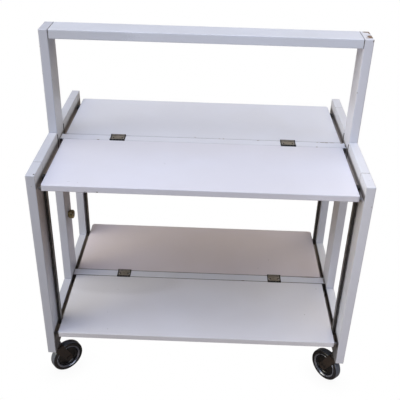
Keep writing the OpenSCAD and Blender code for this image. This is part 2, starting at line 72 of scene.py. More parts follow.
def calc(tree, operation, *values):
    node = addNode(tree, "ShaderNodeMath", operation=operation)
    for index, value in enumerate(values):
        feed(tree, node.inputs[index], value)
    return node.outputs[0]


def calcVector(tree, operation, *values, out=0):
    node = addNode(tree, "ShaderNodeVectorMath", operation=operation)
    for index, value in enumerate(values):
        feed(tree, node.inputs[index], value)
    return node.outputs[out]


def splitPlace(tree, place):
    return addNode(tree, "ShaderNodeSeparateXYZ", {"Vector": place}).outputs


def remap(tree, value, low, high, newLow=0.0, newHigh=1.0):
    inputs = {"Value": value, "From Min": low, "From Max": high, "To Min": newLow, "To Max": newHigh}
    node = addNode(tree, "ShaderNodeMapRange", inputs, clamp=True, interpolation_type="SMOOTHSTEP")
    return node.outputs["Result"]


def fade(tree, value, start, stop):
    # one up to the start, nothing past the stop
    return remap(tree, value, start, stop, 1.0, 0.0)


def spread(tree, value, ends):
    # a noise's usual span, stretched to run between two ends
    return remap(tree, value, *noiseSpan, *ends)


def noise(tree, place, scale, detail=3.0, rough=0.5, stretch=None):
    if stretch:
        place = calcVector(tree, "MULTIPLY", place, stretch)
    inputs = {"Vector": place, "Scale": scale, "Detail": detail, "Roughness": rough}
    return addNode(tree, "ShaderNodeTexNoise", inputs).outputs["Fac"]


def ragged(tree, value, grain, amount):
    # moves a value up and down with a noise
    swing = calc(tree, "SUBTRACT", grain, noiseMiddle)
    return calc(tree, "MULTIPLY_ADD", swing, amount, value)


def blendColour(tree, share, first, second):
    node = addNode(tree, "ShaderNodeMix", data_type="RGBA")
    feed(tree, node.inputs[0], share)
    for index, tone in ((6, first), (7, second)):       # its two inputs for colours
        feed(tree, node.inputs[index], tone if isinstance(tone, bpy.types.NodeSocket) else (*tone, 1.0))
    return node.outputs[2]


def startGroup(name, inputs, outputs):
    tree = bpy.data.node_groups.new(name, "ShaderNodeTree")
    for title, kind, value in inputs:
        item = tree.interface.new_socket(title, in_out="INPUT", socket_type="NodeSocket" + kind)
        if value is not None:
            item.default_value = value
    for title in outputs:
        tree.interface.new_socket(title, in_out="OUTPUT", socket_type="NodeSocketFloat")
    entry = tree.nodes.new("NodeGroupInput")
    end = tree.nodes.new("NodeGroupOutput")
    return tree, entry.outputs, end.inputs


def useGroup(tree, group, inputs):
    node = tree.nodes.new("ShaderNodeGroup")
    node.node_tree = group
    for name, value in inputs.items():
        feed(tree, node.inputs[name], value)
    return node.outputs


def startMaterial(name, **constants):
    material = bpy.data.materials.new(name)
    material.use_nodes = True
    tree = material.node_tree
    shader = tree.nodes["Principled BSDF"]
    for title, value in constants.items():
        shader.inputs[title.replace("_", " ")].default_value = value
    place = tree.nodes.new("ShaderNodeTexCoord").outputs["Object"]
    return material, tree, shader.inputs, place


def bump(tree, height, distance, strength=1.0):
    inputs = {"Height": height, "Distance": distance, "Strength": strength}
    return addNode(tree, "ShaderNodeBump", inputs).outputs["Normal"]


def addObject(name, data):
    made = bpy.data.objects.new(name, data)
    bpy.context.scene.collection.objects.link(made)
    return made


# effects that several finishes share

effects = {
    "edgeCore": 0.65,                       # share of its width over which a mask is full
    "speckCore": 0.6,
    "seamCore": 0.7,
    "speckLeast": 0.4,                      # the smallest speck, as a share of the size asked for
    "seamGrain": 130.0,                     # scales of the noise that makes borders ragged
    "chipGrain": 420.0,
    "chipFade": (0.75, 1.05),
    "filmFade": (0.35, 0.65),
}


def raggedWidth(tree, entry, grain):
    return calc(tree, "MULTIPLY", entry["Width"], ragged(tree, 1.0, grain, entry["Raggedness"]))


def makeBoardEdge():
    # how near a point on a box is to one of the box's edges
    tree, entry, end = startGroup(
        "boardEdge",
        [("Place", "Vector", None), ("Low", "Vector", None), ("High", "Vector", None),
         ("Width", "Float", 0.002), ("Raggedness", "Float", 0.8), ("Grain", "Float", 160.0)],
        ["Mask"],
    )
    fromLow = calcVector(tree, "SUBTRACT", entry["Place"], entry["Low"])
    fromHigh = calcVector(tree, "SUBTRACT", entry["High"], entry["Place"])
    parts = splitPlace(tree, calcVector(tree, "MINIMUM", fromLow, fromHigh))
    small = calc(tree, "MINIMUM", parts["X"], parts["Y"])
    large = calc(tree, "MAXIMUM", parts["X"], parts["Y"])
    # the middle one of the three distances
    distance = calc(tree, "MAXIMUM", small, calc(tree, "MINIMUM", large, parts["Z"]))
    width = raggedWidth(tree, entry, noise(tree, entry["Place"], entry["Grain"]))
    core = calc(tree, "MULTIPLY", width, effects["edgeCore"])
    feed(tree, end["Mask"], fade(tree, distance, core, width))
    return tree


def makeSpecks():
    # sparse small dots, each with its own chance to show
    tree, entry, end = startGroup(
        "specks",
        [("Place", "Vector", None), ("Scale", "Float", 60.0), ("Size", "Float", 0.15),
         ("Share", "Float", 0.1)],
        ["Mask"],
    )
    inputs = {"Vector": entry["Place"], "Scale": entry["Scale"]}
    cells = addNode(tree, "ShaderNodeTexVoronoi", inputs).outputs
    chance = addNode(tree, "ShaderNodeSeparateColor", {"Color": cells["Color"]}).outputs
    chosen = calc(tree, "LESS_THAN", chance["Red"], entry["Share"])
    reach = calc(tree, "ADD", chance["Green"], effects["speckLeast"])
    reach = calc(tree, "MULTIPLY", entry["Size"], reach)
    dot = fade(tree, cells["Distance"], calc(tree, "MULTIPLY", reach, effects["speckCore"]), reach)
    feed(tree, end["Mask"], calc(tree, "MULTIPLY", dot, chosen))
    return tree


def makeChip():
    # one chip at a given place, ragged at its border
    tree, entry, end = startGroup(
        "chip",
        [("Place", "Vector", None), ("Centre", "Vector", None),
         ("Reach", "Vector", (0.002, 0.002, 0.002)), ("Raggedness", "Float", 0.7)],
        ["Mask"],
    )
    offset = calcVector(tree, "SUBTRACT", entry["Place"], entry["Centre"])
    scaled = calcVector(tree, "DIVIDE", offset, entry["Reach"])
    away = calcVector(tree, "LENGTH", scaled, out="Value")
    away = ragged(tree, away, noise(tree, entry["Place"], effects["chipGrain"]), entry["Raggedness"])
    feed(tree, end["Mask"], fade(tree, away, *effects["chipFade"]))
    return tree


def makeGrime():
    # slow changes of tone: film, dust and handling
    tree, entry, end = startGroup(
        "grime",
        [("Place", "Vector", None), ("Scale", "Float", 6.0), ("Fine", "Float", 90.0)],
        ["Broad", "Small"],
    )
    broad = noise(tree, entry["Place"], entry["Scale"], 2.0)
    feed(tree, end["Broad"], remap(tree, broad, *effects["filmFade"]))
    feed(tree, end["Small"], noise(tree, entry["Place"], entry["Fine"], 5.0, 0.6))
    return tree


def makeSeam():
    # dirt along a joint that lies square to one axis, the same on both sides of the table
    tree, entry, end = startGroup(
        "seam",
        [("Place", "Vector", None), ("Axis", "Vector", None), ("At", "Float", 0.3),
         ("Width", "Float", 0.0006), ("Raggedness", "Float", 1.2)],
        ["Mask"],
    )
    along = calcVector(tree, "DOT_PRODUCT", entry["Place"], entry["Axis"], out="Value")
    away = calc(tree, "SUBTRACT", calc(tree, "ABSOLUTE", along), entry["At"])
    width = raggedWidth(tree, entry, noise(tree, entry["Place"], effects["seamGrain"], 4.0))
    core = calc(tree, "MULTIPLY", width, effects["seamCore"])
    feed(tree, end["Mask"], fade(tree, calc(tree, "ABSOLUTE", away), core, width))
    return tree


boardEdge = makeBoardEdge()
specks = makeSpecks()
chip = makeChip()
grime = makeGrime()
seam = makeSeam()
print("shared effects built")


# white lacquer on the wooden boards, with painted light and shade

lacquer = {
    "clean": (0.74, 0.765, 0.865),
    "aged": (0.70, 0.715, 0.79),
    "agedShare": 0.5,
    "bare": (0.16, 0.105, 0.065),           # brown where the lacquer has chipped off
    "wood": (0.29, 0.19, 0.14),             # lighter where it is worn right through
    # dirt; also used as painted shade in the upper strips and in some marks
    "dirtAndShade": (0.055, 0.047, 0.043),
    "sootAndShadow": (0.010, 0.008, 0.008),          # soot and painted shadow beside the ends of the lower leaves
    "paintedShading": {                              # painted light and shade: how much darker or lighter each board's white is made
        "left_post": (0.775, 0.775, 0.78),
        "right_post": (0.955, 0.945, 0.93),
        "left": (0.80, 0.80, 0.80),
        "right": (0.98, 0.98, 0.97),
        "handle": (0.91, 0.92, 0.92),
        "upper_front": (0.985, 0.965, 0.97),
        "lower_front": (1.10, 1.07, 1.03),
        "lower_back": (1.02, 0.92, 0.89),
    },
    "innerAt": 0.331,                       # inner faces of the side frames
    "innerFade": (0.0003, 0.0009),          # past them, where their painted shade ends
    "overFrom": (0.540, 0.552),             # heights where the painted shade over the upper shelf sets in
    "underFrom": (0.22, 0.50),              # and the one under it
    # painted shade and light on the inner faces, over and under the upper shelf: darker and warmer on the
    # left
    "overShading": {"left": (0.89, 0.86, 0.78), "right": (1.04, 1.01, 0.97)},
    "underShading": {"left": (0.61, 0.51, 0.43), "right": (0.92, 0.87, 0.81)},
    "strips": {                             # heights of the strips beside the leaf ends, where dirt and painted shadow darken these faces
        "Upper Strip": {"low": 0.541, "high": 0.549, "tone": "dirtAndShade", "strength": 0.85},
        "Lower Strip": {"low": 0.136, "high": 0.153, "tone": "sootAndShadow", "strength": 0.97},
    },
    "stripSoft": (0.004, 0.008),            # how softly a strip ends, below and above
    "stripWander": 0.003,                   # how far its borders stray, and the scale of that
    "stripGrain": 30.0,
    "roughness": (0.30, 0.46),
    "edgeWidth": 0.0016,
    "edgeTone": 0.10,
    "nicks": {"Scale": 95.0, "Size": 0.34, "Share": 0.035},     # chips along the edges
    "dots": {"Scale": 38.0, "Size": 0.05, "Share": 0.012},      # specks on the faces
    "dotTone": 0.75,
    "alongGrain": 0.06,                     # how much the wood's grain is drawn out along a board
    "grain": (260.0, 0.6),                  # scale and height of the grain under the lacquer
    "peel": (620.0, 0.4),                   # and of the lacquer's own unevenness
    "chipDepth": -3.0,                      # against the height of the grain
    "relief": (0.00009, 0.6),
}

# marks seen on the object: node, then centre, reach, tone and strength of each; some are painted shade, noted
# below
marks = {
    "right_post": [
        ((0.3440, 0.0243, 0.808), (0.0088, 0.0044, 0.004), "bare", 1.0),
        ((0.3490, 0.0175, 0.808), (0.0027, 0.0072, 0.004), "bare", 1.0),
        ((0.3465, -0.0092, 0.808), (0.0074, 0.0100, 0.004), "bare", 1.0),
        ((0.3472, -0.0092, 0.808), (0.0056, 0.0060, 0.004), "wood", 0.9),
        ((0.3395, -0.0030, 0.808), (0.0026, 0.0030, 0.004), "wood", 0.25),
        ((0.3428, -0.0188, 0.808), (0.0110, 0.0022, 0.004), "bare", 0.85),
        ((0.3500, -0.0300, 0.8052), (0.0019, 0.0030, 0.0028), "bare", 1.0),
        ((0.3322, -0.0300, 0.6907), (0.0012, 0.0016, 0.0012), "bare", 0.8),
    ],
    "handle_bar": [
        # painted shade: the handle's front drawn darker towards its left end
        ((-0.2700, -0.0305, 0.798), (0.1300, 0.0020, 0.022), "dirtAndShade", 0.12),
    ],
    "left_post": [
        ((-0.3505, -0.0300, 0.7709), (0.0012, 0.0016, 0.0014), "bare", 0.9),
        ((-0.3502, -0.0300, 0.7105), (0.0010, 0.0016, 0.0011), "dirtAndShade", 0.8),
        ((-0.3310, -0.0280, 0.6971), (0.0010, 0.0014, 0.0013), "bare", 0.8),
    ],
    "front_left_leg": [
        ((-0.3343, -0.2298, 0.572), (0.0020, 0.0024, 0.003), "dirtAndShade", 1.0),
        ((-0.3399, -0.2365, 0.5476), (0.0014, 0.002, 0.0013), "dirtAndShade", 0.25),
        # dirt and painted shadow on the foot's inner face, below the lower leaf
        ((-0.3310, -0.2060, 0.1100), (0.0022, 0.0600, 0.0380), "dirtAndShade", 0.80),
    ],
    "front_right_leg": [
        ((0.3419, -0.2069, 0.572), (0.0011, 0.0013, 0.002), "dirtAndShade", 0.3),
        ((0.3476, -0.2365, 0.5272), (0.0012, 0.002, 0.0014), "bare", 0.7),
        # dirt and painted shadow on the foot's inner face, below the lower leaf
        ((0.3310, -0.2060, 0.1100), (0.0022, 0.0600, 0.0380), "dirtAndShade", 0.70),
    ],
    "upper_front_leaf": [
        ((-0.3020, -0.0140, 0.550), (0.0180, 0.0010, 0.003), "dirtAndShade", 0.6),
        ((-0.2695, -0.2149, 0.550), (0.0040, 0.0009, 0.002), "dirtAndShade", 0.25),
        ((-0.2498, -0.2181, 0.550), (0.0014, 0.0012, 0.002), "dirtAndShade", 0.22),
        ((-0.2079, -0.2340, 0.538), (0.0022, 0.0020, 0.0012), "dirtAndShade", 0.8),
        ((-0.2323, -0.2340, 0.5387), (0.0012, 0.0020, 0.0009), "dirtAndShade", 0.6),
    ],
    "upper_back_leaf": [
        ((-0.0185, 0.0165, 0.550), (0.0032, 0.0010, 0.002), "bare", 0.7),
        ((0.0389, 0.0140, 0.550), (0.0020, 0.0012, 0.002), "bare", 0.5),
        ((0.0483, 0.0140, 0.550), (0.0022, 0.0012, 0.002), "bare", 0.7),
    ],
    "upper_centre_bar": [
        ((0.2885, 0.0118, 0.550), (0.0050, 0.0026, 0.003), "bare", 1.0),
        ((0.2790, 0.0120, 0.550), (0.0060, 0.0020, 0.003), "bare", 0.9),
        ((0.3010, 0.0120, 0.550), (0.0075, 0.0017, 0.003), "bare", 0.85),
        ((0.2672, 0.0118, 0.550), (0.0030, 0.0017, 0.003), "bare", 0.7),
        ((0.1290, 0.0118, 0.550), (0.0034, 0.0018, 0.003), "bare", 0.9),
        ((0.3240, 0.0095, 0.550), (0.0040, 0.0020, 0.003), "bare", 0.7),
        ((0.3300, -0.0040, 0.550), (0.0013, 0.0060, 0.003), "dirtAndShade", 0.9),
        # darkened at both ends of the bar, next to the posts
        ((0.3275, -0.0125, 0.534), (0.0060, 0.0040, 0.017), "dirtAndShade", 0.95),
        ((-0.3275, -0.0125, 0.534), (0.0060, 0.0040, 0.017), "dirtAndShade", 0.95),
        ((-0.3220, 0.0118, 0.550), (0.0080, 0.0016, 0.003), "dirtAndShade", 0.8),
    ],
    "lower_front_leaf": [
        ((-0.2051, -0.0672, 0.155), (0.0016, 0.0014, 0.002), "dirtAndShade", 0.3),
        ((-0.2183, -0.1561, 0.155), (0.0012, 0.0012, 0.002), "dirtAndShade", 0.3),
        ((-0.2091, -0.2154, 0.155), (0.0013, 0.0012, 0.002), "dirtAndShade", 0.4),
        ((0.3042, -0.0364, 0.155), (0.0020, 0.0016, 0.002), "dirtAndShade", 0.3),
        # painted shade: the leaf drawn darker towards the middle on its left
        ((-0.2100, -0.0350, 0.155), (0.1700, 0.0560, 0.003), "dirtAndShade", 0.10),
        # painted shade along the leaf's front edge face
        ((0.0000, -0.2345, 0.148), (0.3400, 0.0012, 0.020), "dirtAndShade", 0.10),
    ],
    "lower_back_leaf": [
        ((0.1888, 0.0833, 0.155), (0.0012, 0.0016, 0.002), "dirtAndShade", 0.4),
        ((0.2942, 0.0140, 0.155), (0.0160, 0.0010, 0.002), "bare", 0.7),
    ],
    "lower_centre_bar": [
        # darkened at both ends of the bar, next to the posts
        ((0.3275, -0.0125, 0.139), (0.0060, 0.0040, 0.017), "dirtAndShade", 0.95),
        ((-0.3275, -0.0125, 0.139), (0.0060, 0.0040, 0.017), "dirtAndShade", 0.95),
        ((0.2900, 0.0118, 0.155), (0.0300, 0.0012, 0.002), "bare", 0.8),
        ((-0.2950, -0.0120, 0.155), (0.0320, 0.0009, 0.002), "dirtAndShade", 0.8),
        ((0.3285, 0.0000, 0.155), (0.0018, 0.0120, 0.003), "bare", 0.7),
    ],
}

# the joints where dirt has gathered: words in the node's name, axis, end of the board, width, strength
across = (1.0, 0.0, 0.0)
deep = (0.0, 1.0, 0.0)
seams = [
    ("handle_bar", across, "outer", 0.0015, 0.92),
    ("left_top_rail", deep, "outer", 0.0006, 0.60),
    ("left_bottom_rail", deep, "outer", 0.0006, 0.60),
    ("right_top_rail", deep, "outer", 0.0008, 0.95),
    ("right_bottom_rail", deep, "outer", 0.0006, 0.75),
    ("centre_bar", across, "outer", 0.0010, 0.75),
    ("lower_centre_bar", deep, "outer", 0.0007, 0.85),
    ("lower_front_leaf", deep, "inner", 0.0006, 0.60),
    ("lower_back_leaf", deep, "inner", 0.0006, 0.75),
    ("upper_back_leaf", deep, "inner", 0.0004, 0.35),
]


def seamsOf(nodeName, low, high):
    found = []
    for words, axis, end, width, strength in seams:
        if words in nodeName:
            reach = [abs(Vector(corner).dot(axis)) for corner in (low, high)]
            found.append((axis, max(reach) if end == "outer" else min(reach), width, strength))
    return found


def makeInnerFace():
    # the inner face of a side frame: painted shade over the upper shelf and under it, and the strips
    # beside the leaf ends, darkened by dirt and painted shadow
    strips = lacquer["strips"]
    tree, entry, end = startGroup("innerFace", [("Place", "Vector", None)], ["Over", "Under", *strips])
    parts = splitPlace(tree, entry["Place"])
    outwards = calc(tree, "SUBTRACT", calc(tree, "ABSOLUTE", parts["X"]), lacquer["innerAt"])
    face = fade(tree, outwards, *lacquer["innerFade"])
    over = remap(tree, parts["Z"], *lacquer["overFrom"])
    under = remap(tree, parts["Z"], *lacquer["underFrom"])
    masks = {"Over": over, "Under": calc(tree, "MULTIPLY", under, calc(tree, "SUBTRACT", 1.0, over))}
    wander = lacquer["stripWander"]
    grain = noise(tree, entry["Place"], lacquer["stripGrain"], 4.0)
    uneven = calc(tree, "MULTIPLY_ADD", grain, 2 * wander, -wander)
    height = calc(tree, "ADD", parts["Z"], uneven)
    below, above = lacquer["stripSoft"]
    for title, strip in strips.items():
        rise = remap(tree, height, strip["low"] - below, strip["low"])
        fall = fade(tree, height, strip["high"], strip["high"] + above)
        masks[title] = calc(tree, "MULTIPLY", rise, fall)
    for title, mask in masks.items():
        feed(tree, end[title], calc(tree, "MULTIPLY", mask, face))
    return tree


innerFace = makeInnerFace()


def boardTone(tree, place, nodeName, film):
    # the board's white and painted shading, plus painted shade and strips on the side frames' inner faces
    # painted light and shade for this board, found by its name
    paintedShading = [amount for word, amount in lacquer["paintedShading"].items() if word in nodeName] or [(1.0, 1.0, 1.0)]
    clean, aged = ([a * b for a, b in zip(paintedShading[0], lacquer[name])] for name in ("clean", "aged"))
    tone = blendColour(tree, calc(tree, "MULTIPLY", film, lacquer["agedShare"]), clean, aged)
    side = [word for word in ("left", "right") if word in nodeName]
    if not side:
        return tone
    inner = useGroup(tree, innerFace, {"Place": place})
    # painted shade over and under the upper shelf
    for title, name in (("Over", "overShading"), ("Under", "underShading")):
        shadingTone = [a * b for a, b in zip(clean, lacquer[name][side[0]])]
        tone = blendColour(tree, inner[title], tone, shadingTone)
    # the strips beside the leaf ends: dirt and painted shadow
    for title, strip in lacquer["strips"].items():
        share = calc(tree, "MULTIPLY", inner[title], strip["strength"])
        tone = blendColour(tree, share, tone, lacquer[strip["tone"]])
    return tone


def boardDamage(tree, place, nodeName, tone, edge):
    # nicks, specks, dirty joints and the marks, some of them painted shade: the new tone, and where the
    # lacquer is gone
    nick = useGroup(tree, specks, {"Place": place, **lacquer["nicks"]})["Mask"]
    lost = calc(tree, "MULTIPLY", nick, edge)
    dot = useGroup(tree, specks, {"Place": place, **lacquer["dots"]})["Mask"]
    tone = blendColour(tree, calc(tree, "MULTIPLY", dot, lacquer["dotTone"]), tone, lacquer["dirtAndShade"])
    tone = blendColour(tree, lost, tone, lacquer["bare"])
    for axis, at, width, strength in seamsOf(nodeName, *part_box(nodeName)):
        mask = useGroup(tree, seam, {"Place": place, "Axis": axis, "At": at, "Width": width})["Mask"]
        tone = blendColour(tree, calc(tree, "MULTIPLY", mask, strength), tone, lacquer["dirtAndShade"])
    for centre, reach, kind, strength in marks.get(nodeName, []):
        mask = useGroup(tree, chip, {"Place": place, "Centre": centre, "Reach": reach})["Mask"]
        mask = calc(tree, "MULTIPLY", mask, strength)
        tone = blendColour(tree, mask, tone, lacquer[kind])
        lost = calc(tree, "MAXIMUM", lost, mask)
    return tone, lost


def boardRelief(tree, place, size, lost):
    # the wood's grain along the board, the lacquer's unevenness, and the depth of the chips
    stretch = [1.0, 1.0, 1.0]
    stretch[max(range(3), key=lambda axis: size[axis])] = lacquer["alongGrain"]
    (grainScale, grainHeight), (peelScale, peelHeight) = lacquer["grain"], lacquer["peel"]
    fibres = noise(tree, place, grainScale, 2.0, 0.5, stretch)
    peel = calc(tree, "MULTIPLY", noise(tree, place, peelScale, 1.0), peelHeight)
    height = calc(tree, "MULTIPLY_ADD", fibres, grainHeight, peel)
    height = calc(tree, "MULTIPLY_ADD", lost, lacquer["chipDepth"], height)
    return bump(tree, height, *lacquer["relief"])


def lacquerOn(nodeName):
    low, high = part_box(nodeName)
    material, tree, shader, place = startMaterial(
        "lacquer_" + nodeName, Coat_Weight=0.12, Coat_Roughness=0.22, Specular_IOR_Level=0.45
    )
    edge = useGroup(tree, boardEdge, {
        "Place": place, "Low": low, "High": high, "Width": lacquer["edgeWidth"],
    })["Mask"]
    dust = useGroup(tree, grime, {"Place": place})
    tone = boardTone(tree, place, nodeName, dust["Broad"])
    tone = blendColour(tree, calc(tree, "MULTIPLY", edge, lacquer["edgeTone"]), tone, lacquer["dirtAndShade"])
    tone, lost = boardDamage(tree, place, nodeName, tone, edge)
    feed(tree, shader["Base Color"], tone)
    feed(tree, shader["Roughness"], spread(tree, dust["Small"], lacquer["roughness"]))
    feed(tree, shader["Normal"], boardRelief(tree, place, high - low, lost))
    return material


boards = ["left_post", "right_post", "handle_bar", "upper_centre_bar", "lower_centre_bar"]
boards += [f"{a}_{b}_{piece}" for a, b in corners for piece in ("leg", "top_rail", "bottom_rail")]
boards += [f"{level}_{a}_leaf" for level in ("upper", "lower") for a in ("front", "back")]


# metal, wood and rubber

def addFilm(tree, place, scales):
    broad, fine = scales
    return useGroup(tree, grime, {"Place": place, "Scale": broad, "Fine": fine})


def addWear(tree, shader, place, recipe):
    # an uneven film that changes the gloss and leaves fine pores
    film = addFilm(tree, place, recipe["film"])
    feed(tree, shader["Roughness"], spread(tree, film["Small"], recipe["roughness"]))
    feed(tree, shader["Normal"], bump(tree, film["Small"], *recipe["relief"]))
    return film


def makeWornMetal(name, recipe, **constants):
    # two tones under one film, with rust in its pores where the recipe has it
    material, tree, shader, place = startMaterial(name, **constants)
    film = addWear(tree, shader, place, recipe)
    tone = blendColour(tree, film["Broad"], *recipe["tones"])
    if "rust" in recipe:
        tone = blendColour(tree, remap(tree, film["Small"], *recipe["rustFrom"]), tone, recipe["rust"])
    feed(tree, shader["Base Color"], tone)
    return material


birchFinish = {
    "tones": ((0.62, 0.45, 0.27), (0.48, 0.32, 0.18)),
    "rings": 180.0,
    "stretch": (0.08, 0.08, 1.0),
    "roughness": (0.55, 0.7),
    "relief": 0.0001,
}


def makeBirch():
    material, tree, shader, place = startMaterial("birch")
    rings = noise(tree, place, birchFinish["rings"], stretch=birchFinish["stretch"])
    feed(tree, shader["Base Color"], blendColour(tree, rings, *birchFinish["tones"]))
    feed(tree, shader["Roughness"], spread(tree, rings, birchFinish["roughness"]))
    feed(tree, shader["Normal"], bump(tree, rings, birchFinish["relief"]))
    return material


shelfHinge = {
    "plate": (0.235, 0.21, 0.175),
    "worn": (0.30, 0.27, 0.235),
    "dark": (0.014, 0.014, 0.015),
    "poresFrom": (0.56, 0.68),
    "poresTone": 0.6,
    "border": 0.0033,
    "at": (0.1805, 0.2155),                 # where a hinge starts and ends, from the middle of the table
    "reach": 0.015,
    "film": (150.0, 700.0),
    "roughness": (0.38, 0.62),
    "relief": (0.00006, 0.7),
}


def makeHingeFinish():
    # taupe metal with dark pores, and painted shadow black along its edges and in the gaps between the
    # knuckles
    material, tree, shader, place = startMaterial("aged_hinge_metal", Metallic=0.35, Specular_IOR_Level=0.4)
    parts = splitPlace(tree, place)
    mirrored = addNode(tree, "ShaderNodeCombineXYZ", {
        "X": calc(tree, "ABSOLUTE", parts["X"]), "Y": parts["Y"], "Z": 0.0,
    }).outputs[0]
    start, stop = shelfHinge["at"]
    reach = shelfHinge["reach"]
    edge = useGroup(tree, boardEdge, {
        "Place": mirrored, "Low": (start, -reach, 0.0), "High": (stop, reach, 0.0),
        "Width": shelfHinge["border"], "Raggedness": 0.6, "Grain": 420.0,
    })
    film = addWear(tree, shader, place, shelfHinge)
    tone = blendColour(tree, film["Broad"], shelfHinge["plate"], shelfHinge["worn"])
    pores = remap(tree, film["Small"], *shelfHinge["poresFrom"], 0.0, shelfHinge["poresTone"])
    tone = blendColour(tree, pores, tone, shelfHinge["dark"])
    # painted shadow along the plate's edges
    feed(tree, shader["Base Color"], blendColour(tree, edge["Mask"], tone, shelfHinge["dark"]))
    return material


tieFinish = {
    "paint": (0.009, 0.009, 0.010),
    # the paler middle and its streaks are a painted sheen
    "middle": (0.085, 0.076, 0.070),
    "sheen": (0.16, 0.145, 0.125),
    "sheenFrom": (0.5, 0.72),
    "edge": 0.0026,
    "film": (40.0, 300.0),
    "streaks": 400.0,
    "alongBar": 0.05,
    "roughness": (0.3, 0.5),
    "relief": (0.00005, 0.6),
}


def tieOn(nodeName):
    # black paint along its edges, and a painted sheen: paler and streaked down the middle
    low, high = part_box(nodeName)
    material, tree, shader, place = startMaterial("tie_paint_" + nodeName, Specular_IOR_Level=0.4)
    film = addFilm(tree, place, tieFinish["film"])
    streaks = noise(tree, place, tieFinish["streaks"], 3.0, 0.6, (1.0, 1.0, tieFinish["alongBar"]))
    edge = useGroup(tree, boardEdge, {
        "Place": place, "Low": low, "High": high, "Width": tieFinish["edge"], "Raggedness": 0.4,
    })["Mask"]
    sheen = remap(tree, streaks, *tieFinish["sheenFrom"])
    tone = blendColour(tree, sheen, tieFinish["middle"], tieFinish["sheen"])
    feed(tree, shader["Base Color"], blendColour(tree, edge, tone, tieFinish["paint"]))
    feed(tree, shader["Roughness"], remap(tree, film["Broad"], 0.0, 1.0, *tieFinish["roughness"]))
    feed(tree, shader["Normal"], bump(tree, streaks, *tieFinish["relief"]))
    return material


knobFinish = {
    "light": (0.42, 0.33, 0.13),
    "dark": (0.12, 0.085, 0.035),
    "turning": 900.0,                       # scale of the fine rings left by turning
    "stretch": (1.0, 0.12, 0.12),
    "ringTone": 0.3,
    "figure": 90.0,                         # scale of the metal's darker patches
    "figureFrom": (0.35, 0.65),
    "roughness": (0.25, 0.42),
    "relief": (0.00008, 0.5),
}


def makeKnobFinish():
    material, tree, shader, place = startMaterial(
        "olive_brass", Metallic=0.55, Coat_Weight=0.5, Coat_Roughness=0.15
    )
    rings = noise(tree, place, knobFinish["turning"], 2.0, 0.5, knobFinish["stretch"])
    figure = noise(tree, place, knobFinish["figure"], 3.0, 0.6)
    figure = remap(tree, figure, *knobFinish["figureFrom"])
    tone = blendColour(tree, figure, knobFinish["light"], knobFinish["dark"])
    tone = blendColour(tree, calc(tree, "MULTIPLY", rings, knobFinish["ringTone"]), tone, knobFinish["dark"])
    feed(tree, shader["Base Color"], tone)
    feed(tree, shader["Roughness"], spread(tree, rings, knobFinish["roughness"]))
    feed(tree, shader["Normal"], bump(tree, rings, *knobFinish["relief"]))
    return material


darkMetalFinish = {
    "tones": ((0.016, 0.013, 0.012), (0.014, 0.014, 0.015)),
    "film": (150.0, 700.0),
    "roughness": (0.4, 0.65),
    "relief": (0.00006, 0.7),
}

steelFinish = {
    "tones": ((0.42, 0.42, 0.44), (0.24, 0.23, 0.22)),
    "film": (120.0, 500.0),
    "roughness": (0.28, 0.5),
    "relief": (0.00004, 0.5),
}

forkFinish = {
    "tones": ((0.026, 0.020, 0.017), (0.042, 0.028, 0.021)),
    "rust": (0.11, 0.055, 0.03),
    "rustFrom": (0.66, 0.76),
    "film": (70.0, 420.0),
    "roughness": (0.45, 0.7),
    "relief": (0.0001, 0.6),
}

wheelFinish = {
    "paint": (0.006, 0.0055, 0.0055),
    "dust": (0.025, 0.020, 0.017),
    "dustFrom": (0.55, 0.8),
    "dustTone": 0.3,
    "film": (60.0, 500.0),
    "roughness": (0.14, 0.26),
    "relief": (0.00004, 0.5),
}


def makeWheelFinish():
    material, tree, shader, place = startMaterial(
        "black_wheel_enamel", Specular_IOR_Level=0.4, Coat_Weight=0.6, Coat_Roughness=0.04
    )
    film = addFilm(tree, place, wheelFinish["film"])
    dusty = remap(tree, film["Small"], *wheelFinish["dustFrom"], 0.0, wheelFinish["dustTone"])
    feed(tree, shader["Base Color"], blendColour(tree, dusty, wheelFinish["paint"], wheelFinish["dust"]))
    feed(tree, shader["Roughness"], remap(tree, film["Broad"], 0.0, 1.0, *wheelFinish["roughness"]))
    feed(tree, shader["Normal"], bump(tree, film["Small"], *wheelFinish["relief"]))
    return material


tyreFinish = {
    "side": (0.007, 0.007, 0.0085),
    # the tread: grey rubber, its blue tint a painted sheen
    "treadAndSheen": (0.105, 0.12, 0.155),
    "sideAt": 0.0070,                       # from the tyre's middle to where its dark side starts
    "sideFade": 0.0012,
    "dust": (0.2, 0.19, 0.17),
    "dustFrom": (0.52, 0.72),
    "dustTone": 0.22,
    "film": (45.0, 380.0),
    "roughness": (0.6, 0.24),               # of the tread and of the side
    "relief": (0.00012, 0.6),
}


def tyreOn(nodeName, axis):
    low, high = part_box(nodeName)
    material, tree, shader, place = startMaterial(
        "rubber_" + nodeName, Specular_IOR_Level=0.4, Coat_Weight=0.5, Coat_Roughness=0.08
    )
    local = calcVector(tree, "SUBTRACT", place, (low + high) / 2)
    sideways = calc(tree, "ABSOLUTE", calcVector(tree, "DOT_PRODUCT", local, axis, out="Value"))
    side = remap(tree, sideways, tyreFinish["sideAt"], tyreFinish["sideAt"] + tyreFinish["sideFade"])
    film = addFilm(tree, place, tyreFinish["film"])
    tone = blendColour(tree, side, tyreFinish["treadAndSheen"], tyreFinish["side"])
    dusty = remap(tree, film["Small"], *tyreFinish["dustFrom"])
    dusty = calc(tree, "MULTIPLY", dusty, tyreFinish["dustTone"])
    feed(tree, shader["Base Color"], blendColour(tree, dusty, tone, tyreFinish["dust"]))
    feed(tree, shader["Roughness"], remap(tree, side, 0.0, 1.0, *tyreFinish["roughness"]))
    feed(tree, shader["Normal"], bump(tree, film["Small"], *tyreFinish["relief"]))
    return material


